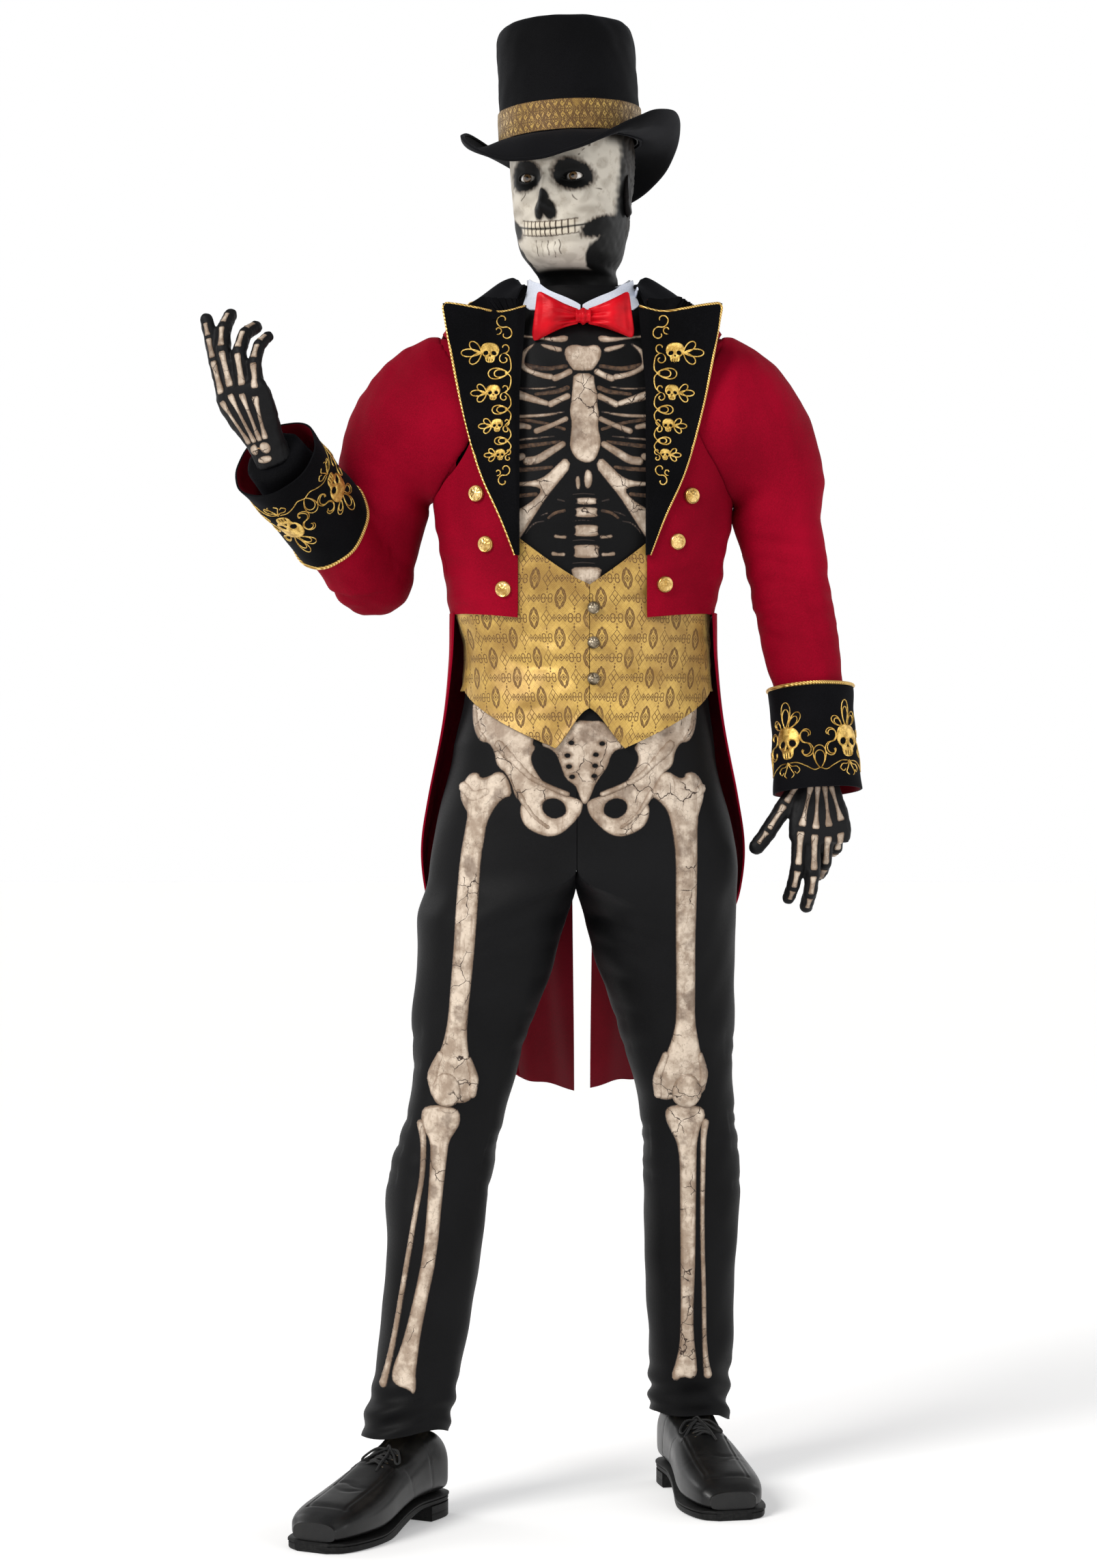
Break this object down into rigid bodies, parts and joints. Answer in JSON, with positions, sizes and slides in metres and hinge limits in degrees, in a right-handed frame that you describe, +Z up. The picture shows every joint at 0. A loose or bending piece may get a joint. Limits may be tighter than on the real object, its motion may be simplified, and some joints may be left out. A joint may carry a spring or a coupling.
{
  "type": "papier-mache catrin figure",
  "caption": "Life-size papier-mache skeleton gentleman on a jointed armature, in a tailcoat, brocade vest and bone-print trousers, with lift-off hat and swinging arms.",
  "frame": {"origin": "on the floor, under the middle of the figure's bounding box", "axes": "+Z up; the figure's front faces -Y; +X is the figure's left"},
  "size_m": [0.8414, 0.4948, 1.9221],
  "materials": {
    "steel": "bare round bar",
    "wood": "plain planed softwood",
    "paper_pulp": "bare layered papier-mache",
    "bone_paint": "papier-mache painted as bone, with dark hollows",
    "glove_black": "papier-mache hand in black with bone-print back",
    "print_knit": "black knit with a bone print",
    "black_velvet": "black velvet with gold embroidery and piping",
    "black_felt": "black velour felt",
    "red_cloth": "deep red suiting with a soft sheen",
    "red_satin": "bright red satin",
    "white_cotton": "starched white cotton",
    "gold_brocade": "gold brocade with small brown medallions",
    "brass": "embossed gold-coloured button",
    "pewter": "dull antique button",
    "black_leather": "polished black leather",
    "black_rubber": "black rubber sole",
    "lace_cotton": "waxed black cotton lace"
  },
  "bodies": {
    "figure": {"pelvis_block": "wood", "spine_post": "wood", "shoulder_bar": "wood", "neck_peg": "wood", "leg_rod_right": "steel", "leg_rod_left": "steel", "torso_shell": "paper_pulp", "leg_shell_right": "paper_pulp", "leg_shell_left": "paper_pulp", "shirt_front": "print_knit", "shirt_collar": "white_cotton", "bow_loop_right": "red_satin", "bow_loop_left": "red_satin", "bow_knot": "red_satin", "vest_front_right": "gold_brocade", "vest_front_left": "gold_brocade", "vest_button_1": "pewter", "vest_button_2": "pewter", "vest_button_3": "pewter", "coat_back": "red_cloth", "coat_front_right": "red_cloth", "coat_front_left": "red_cloth", "coat_tail_right": "red_cloth", "coat_tail_left": "red_cloth", "lapel_right": "black_velvet", "lapel_left": "black_velvet", "coat_collar": "black_velvet", "coat_button_right_1": "brass", "coat_button_right_2": "brass", "coat_button_right_3": "brass", "coat_button_left_1": "brass", "coat_button_left_2": "brass", "coat_button_left_3": "brass", "trouser_leg_right": "print_knit", "trouser_leg_left": "print_knit", "shoe_upper_right": "black_leather", "shoe_sole_right": "black_rubber", "shoe_heel_right": "black_rubber", "shoe_laces_right": "lace_cotton", "shoe_upper_left": "black_leather", "shoe_sole_left": "black_rubber", "shoe_heel_left": "black_rubber", "shoe_laces_left": "lace_cotton"},
    "right_arm": {"arm_rod_right": "steel", "arm_core_right": "paper_pulp", "sleeve_right": "red_cloth", "cuff_right": "black_velvet"},
    "left_arm": {"arm_rod_left": "steel", "arm_core_left": "paper_pulp", "sleeve_left": "red_cloth", "cuff_left": "black_velvet"},
    "right_hand": {"hand_right": "glove_black", "wrist_dowel_right": "wood"},
    "left_hand": {"hand_left": "glove_black", "wrist_dowel_left": "wood"},
    "head": {"head": "bone_paint"},
    "hat": {"hat_crown": "black_felt", "hat_brim": "black_felt", "hat_band": "gold_brocade", "hat_sweatband": "black_leather"}
  },
  "joints": [
    {"name": "head_turn", "type": "hinge", "parent": "figure", "child": "head", "pos_m": [0.0571, 0.0424, 1.56], "axis": [0, 0, 1], "range_deg": [-30, 45]},
    {"name": "hat_lift", "type": "slide", "parent": "head", "child": "hat", "axis": [-0.06, 0, 0.9982], "range_m": [0, 0.2]},
    {"name": "right_arm_swing", "type": "hinge", "parent": "figure", "child": "right_arm", "pos_m": [-0.1369, 0.0294, 1.412], "axis": [1, 0, 0], "range_deg": [-18, 18]},
    {"name": "left_arm_swing", "type": "hinge", "parent": "figure", "child": "left_arm", "pos_m": [0.2541, 0.0294, 1.412], "axis": [1, 0, 0], "range_deg": [-18, 16]},
    {"name": "right_hand_turn", "type": "hinge", "parent": "right_arm", "child": "right_hand", "pos_m": [-0.3299, -0.1086, 1.353], "axis": [-0.4606, -0.6948, 0.5524], "range_deg": [-25, 25]},
    {"name": "left_hand_turn", "type": "hinge", "parent": "left_arm", "child": "left_hand", "pos_m": [0.3621, 0.0184, 0.965], "axis": [0.1327, -0.119, -0.984], "range_deg": [-25, 25]}
  ]
}
